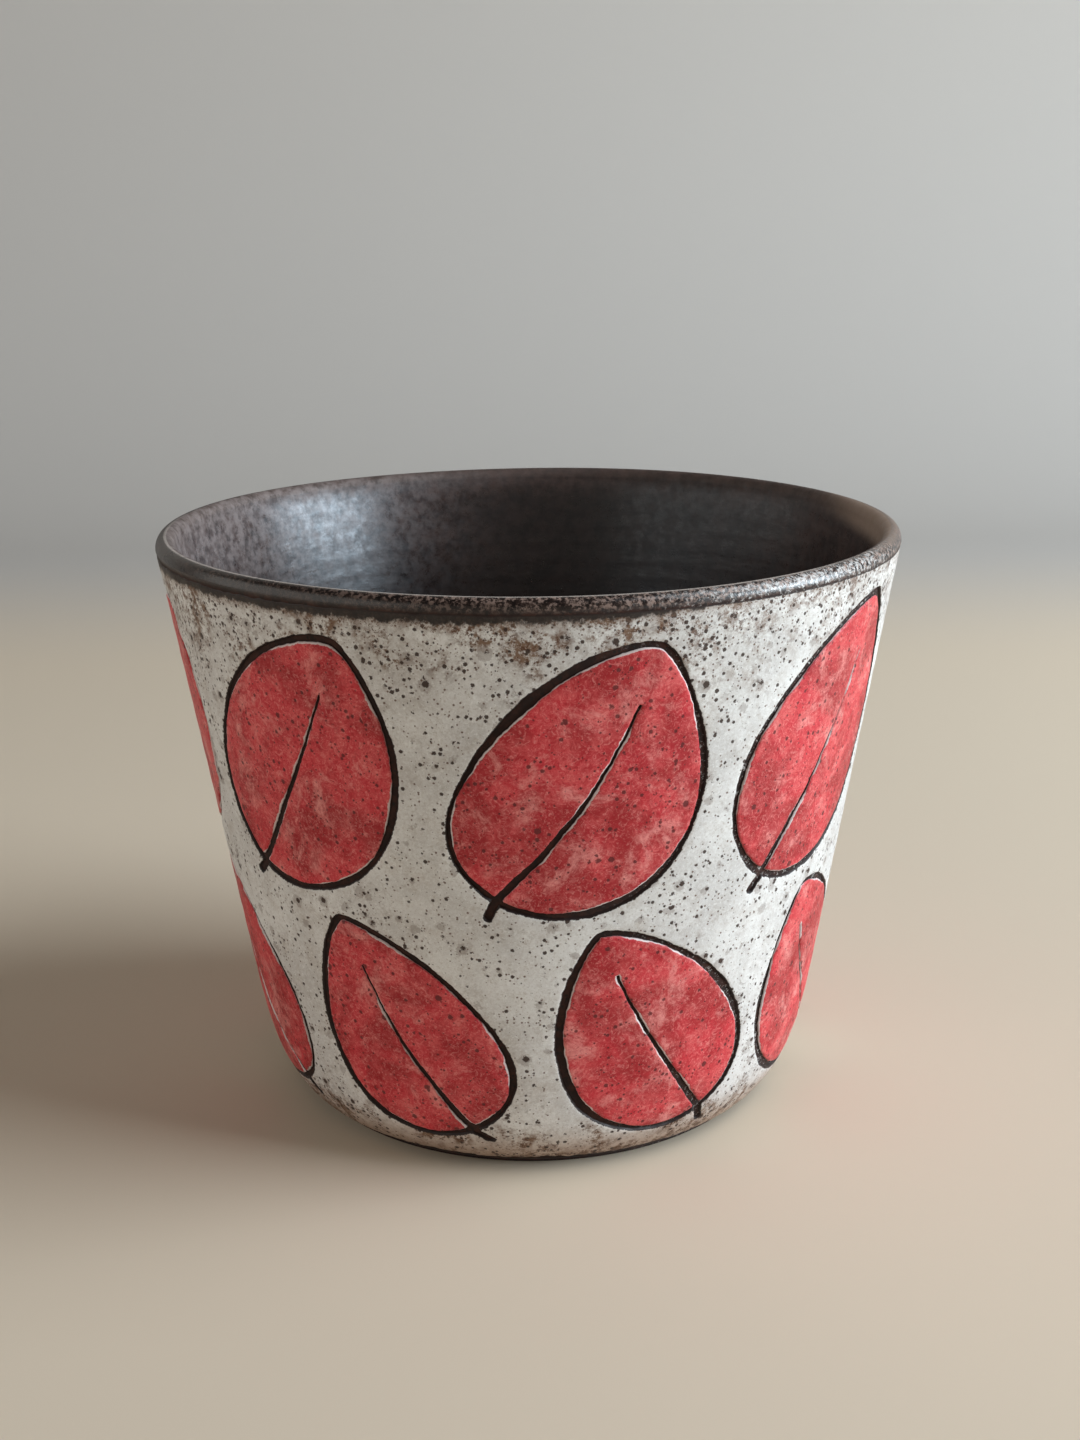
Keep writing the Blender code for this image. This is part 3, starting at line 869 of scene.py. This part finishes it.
def slip_finish():
    """Off-white slip with a fine grain, brown stains near the lip and foot, and iron specks; the warm tone
    at the foot is partly painted bounced light.
    """
    f = Finish("white_slip")
    near_top = f.ease(f.z, HEIGHT - 15 * MM, HEIGHT - 4 * MM)
    near_foot = f.ease(f.z, 9 * MM, 1.5 * MM)
    to_right = f.times(f.ease(f.x, 2 * MM, 30 * MM), f.ease(f.y, 20 * MM, 0.0))
    stained_top = f.times(near_top, f.plus(f.times(to_right, -0.55), 1.0))
    patches = f.plus(f.ease(f.cloud(5 * MM, 2.0, seed=5), 0.42, 0.56), 0.25)
    area = f.times(patches, f.plus(stained_top, f.times(near_foot, 1.7), 0.14))
    grain = f.cloud(0.34 * MM, 4.0, 0.8, seed=3, distortion=0.8)
    color = stained(f, slip_ground(f, grain), area)
    busy = f.plus(f.times(iron_patches(f), 0.46), f.times(near_top, 0.50), f.times(area, 0.45), 0.19)
    fine, large, bleed = iron(f, busy)
    color = f.blend(f.times(bleed, 0.35), color, IRON_BROWN)
    color = f.blend(f.times(fine, 0.85), color, IRON_BROWN)
    color = f.blend(f.times(large, 0.95), color, IRON_DARK)
    under_lip = f.ease(f.z, HEIGHT - 5.2 * MM, HEIGHT - 2.6 * MM, 0.0, 0.14)
    spatter = f.plus(f.cloud(0.34 * MM, 5.0, 0.8, seed=13), under_lip)
    color = f.blend(f.ease(spatter, 0.66, 0.74, 0.0, 0.90), color, IRON_BROWN)
    color = torn_under_lip(f, color, to_right)
    crumbs = f.cloud(0.45 * MM, 4.0, 0.7, seed=7)
    rim = f.ease(f.math("SUBTRACT", f.edge(), f.times(crumbs, 0.34)), 0.05, -0.02)
    color = f.blend(rim, color, LINE_DARK)
    normal = f.bump(skin_height(f, grain, large, 0.35), SKIN_RELIEF)
    roughness = f.ease(f.cloud(2.2 * MM, 3.0, seed=9), 0.3, 0.7, 0.46, 0.62)
    return f.finish(color, roughness, normal, IOR=1.45)


def red_finish():
    """Red brushed thin on the slip, so that it is mottled, paler where it pooled less, and specked."""
    f = Finish("red_underglaze")
    wash = f.ease(f.cloud(8 * MM, 4.0, 0.6, seed=21, distortion=0.4), 0.40, 0.60)
    color = f.blend(wash, RED_DEEP, RED_MIDDLE)
    mottle = f.ease(f.cloud(2.6 * MM, 7.0, 0.74, seed=22, distortion=0.6), 0.42, 0.66)
    color = f.blend(f.times(mottle, f.plus(f.times(wash, 0.45), 0.35)), color, RED_CORAL)
    thin = f.ease(f.cloud(5 * MM, 8.0, 0.76, seed=23, distortion=0.5), 0.50, 0.68)
    color = f.blend(f.times(thin, 0.75), color, RED_PALE)
    threads = f.cloud(0.70 * MM, 6.0, 0.80, seed=24, distortion=1.8)
    color = f.blend(f.ease(threads, 0.50, 0.64, 0.0, 0.50), color, RED_PALE)
    color = f.blend(f.ease(threads, 0.49, 0.36, 0.0, 0.60), color, RED_DEEP)
    fine, large, _ = iron(f, f.plus(f.times(iron_patches(f), 0.30), 0.22))
    color = f.blend(f.times(f.most(fine, large), 0.85), color, RED_SPECK)
    crumbs = f.cloud(0.5 * MM, 4.0, 0.7, seed=26)
    width = f.times(crumbs, f.ease(f.cloud(5 * MM, 2.0, seed=28), 0.42, 0.62, 0.06, 0.42))
    bare = f.ease(f.math("SUBTRACT", f.edge(), width), 0.06, -0.02)
    color = f.blend(f.times(bare, 0.75), color, SLIP_LIGHT)
    cut = f.ease(f.math("SUBTRACT", f.edge(), f.times(crumbs, 0.08)), 0.03, 0.0)
    color = f.blend(cut, color, LINE_DARK)
    normal = f.bump(skin_height(f, threads, large, 0.3), SKIN_RELIEF)
    roughness = f.ease(f.cloud(2.0 * MM, 3.0, seed=27), 0.3, 0.7, 0.42, 0.58)
    return f.finish(color, roughness, normal, IOR=1.45)


def glaze_look(f):
    """Colour, height and roughness of the dark glaze: soft blots, a paler break at the lip, painted light
    at the left and the far right, painted shade deep inside and at the back, and a satin skin.
    """
    lit_left = f.ease(f.x, 0.0, -36 * MM)
    lit_far_right = f.ease(f.x, 37.5 * MM, 43 * MM)
    blot = f.ease(f.cloud(2.2 * MM, 5.0, 0.66, seed=61), 0.34, 0.66)
    color = f.blend(blot, GLAZE_DARK, GLAZE_BROWN)
    # Pale mottle: a little all round as the glaze's own colour, much more at the left as painted light
    # where the window falls on that wall.
    pale = f.ease(f.cloud(1.3 * MM, 5.0, 0.68, seed=62), 0.30, 0.66)
    color = f.blend(f.times(pale, f.plus(f.times(lit_left, 0.85), 0.10)), color, GLAZE_PALE_AND_LIT)
    dark = f.specks(1.1 * MM, 0.36 * MM, 0.6, 63)
    color = f.blend(f.times(dark, 0.45), color, GLAZE_DARK)
    # Painted shade: the glaze darkens towards the bottom of the cup, and below the rim at the back, where
    # little light reaches.
    deep = f.ease(f.z, HEIGHT - 2 * MM, HEIGHT - 18 * MM, 0.0, 0.65)
    back = f.times(f.ease(f.y, 12 * MM, 38 * MM), f.ease(f.x, -24 * MM, 0.0))
    shade_below_rim = f.ease(f.z, HEIGHT - 1.2 * MM, HEIGHT - 5 * MM, 0.0, 0.60)
    color = f.blend(f.most(deep, f.times(back, shade_below_rim)), color, GLAZE_PAINTED_SHADE)
    # A paler break where the glaze thins at the lip: a little all round as its own colour, wider and paler
    # at the far right as painted light.
    reach = f.plus(f.z, f.times(lit_far_right, 1.4 * MM))
    thin = f.ease(reach, HEIGHT - 3.0 * MM, HEIGHT - 0.8 * MM)
    broken = f.blend(lit_far_right, GLAZE_BREAK_AND_LIT, GLAZE_LIT_EDGE)
    color = f.blend(f.times(thin, f.plus(f.times(lit_far_right, 0.75), 0.12)), color, broken)
    flat = f.vector("MULTIPLY", f.place, (1.0, 1.0, 3.2))
    inputs = {"Vector": flat, "Scale": 1 / (3.6 * MM), "Detail": 2.0}
    streaks = f.node("ShaderNodeTexNoise", inputs).outputs[0]
    height = f.plus(f.times(f.cloud(1.2 * MM, 3.0, seed=64), 0.3), f.times(streaks, 0.8))
    roughness = f.ease(f.cloud(1.4 * MM, 5.0, 0.66, seed=66), 0.32, 0.68, 0.25, 0.42)
    return color, height, f.plus(roughness, f.times(thin, 0.30))


def pale_mottle_and_light(f):
    """Where the clay of the lip is paler, along its crest at the left and all over it at the right: a real
    pale mottle, partly painted light that follows where light falls on the lip.
    """
    mottle = f.ease(f.cloud(0.55 * MM, 5.0, 0.74, seed=42), 0.47, 0.58)
    rising = f.ease(f.z, LIP_BASE + 0.30 * MM, LIP_BASE + 0.95 * MM, 0.40, 1.0)
    rising = f.most(rising, f.ease(f.x, -12 * MM, 20 * MM, 0.35, 1.0))
    return f.times(mottle, rising, f.ease(f.x, -30 * MM, -2 * MM, 0.20, 0.95))


def spatter_and_glints(f, outer):
    """Drops of slip on the outer side of the lip at the front right, crowded where light glints on it:
    partly real spatter, partly painted highlight.
    """
    to_right = f.times(
        f.ease(f.x, 4 * MM, 30 * MM),
        f.ease(f.x, 43 * MM, 36 * MM, 0.30, 1.0),
        f.ease(f.y, -6 * MM, -24 * MM),
    )
    drops = f.plus(f.cloud(0.5 * MM, 5.0, 0.8, seed=46), f.times(to_right, outer, 0.07))
    return f.times(f.ease(drops, 0.55, 0.64), to_right, 0.90)


def painted_crest_highlight(f, radius):
    """A painted highlight: a broken pale line along the crest of the lip at the front."""
    return f.times(
        f.ease(radius, RIM_RADIUS - 1.45 * MM, RIM_RADIUS - 1.30 * MM),
        f.ease(radius, RIM_RADIUS - 0.98 * MM, RIM_RADIUS - 1.12 * MM),
        f.ease(f.cloud(0.9 * MM, 4.0, 0.7, seed=47), 0.28, 0.46),
        f.ease(f.y, 12 * MM, -16 * MM),
        f.ease(f.x, 38 * MM, 26 * MM),
    )


def clay_finish():
    """Dark fired stoneware: dry in the carved lines and on the foot, satin on the lip, glazed inside it."""
    f = Finish("stoneware")
    radius = f.radius()
    on_lip = f.ease(f.z, LIP_BASE - 0.7 * MM, LIP_BASE + 0.1 * MM)
    outer = f.times(f.ease(radius, RIM_RADIUS - 1.05 * MM, RIM_RADIUS - 0.70 * MM), on_lip)
    mottle = f.ease(f.cloud(1.6 * MM, 5.0, 0.7, seed=41), 0.40, 0.66)
    dry = f.blend(mottle, LINE_DARK, LINE_BROWN)
    color = f.blend(on_lip, dry, f.blend(mottle, CLAY_DARK, CLAY_BROWN))
    # Pale mottle on the lip, partly painted light at its crest and at the right.
    pale = f.times(pale_mottle_and_light(f), on_lip)
    color = f.blend(pale, color, CLAY_PALE_AND_LIT)
    grog = f.specks(0.55 * MM, 0.24 * MM, 0.75, 43)
    color = f.blend(f.times(grog, 0.9), color, CLAY_DARK)
    # Slip spatter on the lip, partly painted highlight at the front right.
    color = f.blend(spatter_and_glints(f, outer), color, SLIP_SHADE)
    # Painted light: the lip at the far right is painted a paler brown where light falls on it.
    lit_far_right = f.ease(f.x, 37 * MM, 42 * MM)
    smooth = f.times(lit_far_right, f.ease(radius, RIM_RADIUS - 0.1 * MM, RIM_RADIUS - 0.8 * MM), on_lip)
    color = f.blend(f.times(smooth, 0.9), color, GLAZE_BREAK_AND_LIT)
    grain = f.cloud(0.20 * MM, 3.0, 0.7, seed=44)
    height = f.plus(f.times(grain, 0.4), f.times(f.cloud(0.9 * MM, 4.0, seed=45), 0.6))
    satin = f.ease(f.y, -26 * MM, 4 * MM, 0.22, 0.48)
    roughness = f.between(on_lip, 0.92, f.plus(satin, f.times(pale, 0.10)))
    glaze_color, glaze_height, glaze_roughness = glaze_look(f)
    glazed = f.times(f.ease(radius, RIM_RADIUS - 1.15 * MM, RIM_RADIUS - 1.40 * MM), on_lip)
    color = f.blend(glazed, color, glaze_color)
    # Painted highlight along the crest of the lip at the front.
    color = f.blend(f.times(painted_crest_highlight(f, radius), on_lip, 0.85), color, CREST_HIGHLIGHT)
    height = f.between(glazed, height, glaze_height)
    roughness = f.between(glazed, roughness, glaze_roughness)
    return f.finish(color, roughness, f.bump(height, SKIN_RELIEF), IOR=1.50)


def glaze_finish():
    """The dark satin glaze of the inside."""
    f = Finish("liner_glaze")
    color, height, roughness = glaze_look(f)
    return f.finish(color, roughness, f.bump(height, GLAZE_RELIEF), IOR=1.50, Specular_Tint=GLAZE_TINT)


# Stage, light and camera


def floor_finish():
    """A warm pale table that passes into a pale grey backdrop behind the cup."""
    f = Finish("floor")
    behind = f.ease(f.y, 0.20, 0.36)
    color = f.blend(behind, FLOOR_WARM, BACKDROP_GREY)
    f.put(color, f.shader.inputs["Base Color"])
    f.shader.inputs["Roughness"].default_value = 0.9
    return f.material


def make_stage():
    """A pale floor that turns up behind the cup into a backdrop."""
    line = [(FLOOR_FRONT, 0.0)]
    for step in range(BEND_STEPS + 1):
        angle = math.pi / 2 * step / BEND_STEPS
        out, up = math.sin(angle) - 1, 1 - math.cos(angle)
        line.append((BACKDROP_PLACE + BACKDROP_BEND * out, BACKDROP_BEND * up))
    line.append((BACKDROP_PLACE, BACKDROP_HEIGHT))
    vertices = [(x, y, z) for y, z in line for x in (-FLOOR_WIDTH / 2, FLOOR_WIDTH / 2)]
    faces = [(2 * i, 2 * i + 1, 2 * i + 3, 2 * i + 2) for i in range(len(line) - 1)]
    mesh = bpy.data.meshes.new("floor")
    mesh.from_pydata(vertices, [], faces)
    mesh.materials.append(floor_finish())
    mesh.shade_smooth()
    floor = bpy.data.objects.new("floor", mesh)
    bpy.context.scene.collection.objects.link(floor)


def area_light(name, place, size, watts, color):
    """A soft rectangular lamp that faces the cup."""
    data = bpy.data.lights.new(name, "AREA")
    data.shape = "RECTANGLE"
    data.size, data.size_y = size
    data.energy = watts
    data.color = color
    lamp = bpy.data.objects.new(name, data)
    lamp.location = place
    lamp.rotation_euler = (Vector(LIT_POINT) - Vector(place)).to_track_quat("-Z", "Y").to_euler()
    bpy.context.scene.collection.objects.link(lamp)


def make_light():
    """A window and the sky above it at the right, weak light from the left and front, and a dim room."""
    world = bpy.data.worlds.new("studio")
    bpy.context.scene.world = world
    world.use_nodes = True
    background = world.node_tree.nodes["Background"]
    background.inputs["Color"].default_value = WORLD_COLOR
    background.inputs["Strength"].default_value = WORLD_STRENGTH
    for lamp in LAMPS:
        area_light(*lamp)


def make_camera():
    """A camera with the place and angle of the one that took the photograph."""
    data = bpy.data.cameras.new("camera")
    data.sensor_width = SENSOR
    data.lens = SENSOR * FOCAL_PIXELS / max(PHOTO_SIZE)
    data.clip_start = 0.01
    camera = bpy.data.objects.new("camera", data)
    bpy.context.scene.collection.objects.link(camera)
    upright = Matrix.Rotation(-CAMERA_YAW, 4, "Z") @ Matrix.Rotation(math.pi / 2 - CAMERA_PITCH, 4, "X")
    place = Matrix.Translation((0, -CAMERA_DISTANCE, CAMERA_HEIGHT))
    camera.matrix_world = place @ upright @ Matrix.Rotation(CAMERA_ROLL, 4, "Z")
    bpy.context.scene.camera = camera


def main():
    noise.seed_set(RAGGED_SEED)
    all_leaves = leaves()
    turned_piece("stoneware_body", body_section(), clay_finish(), "clay_body")
    turned_piece("satin_liner", liner_section(), glaze_finish(), "liner_glaze")
    slip_piece(all_leaves, slip_finish())
    red = red_finish()
    for leaf in all_leaves:
        leaf_piece(leaf, red)
    make_stage()
    make_light()
    make_camera()
    bpy.context.scene.view_settings.view_transform = "Standard"


main()
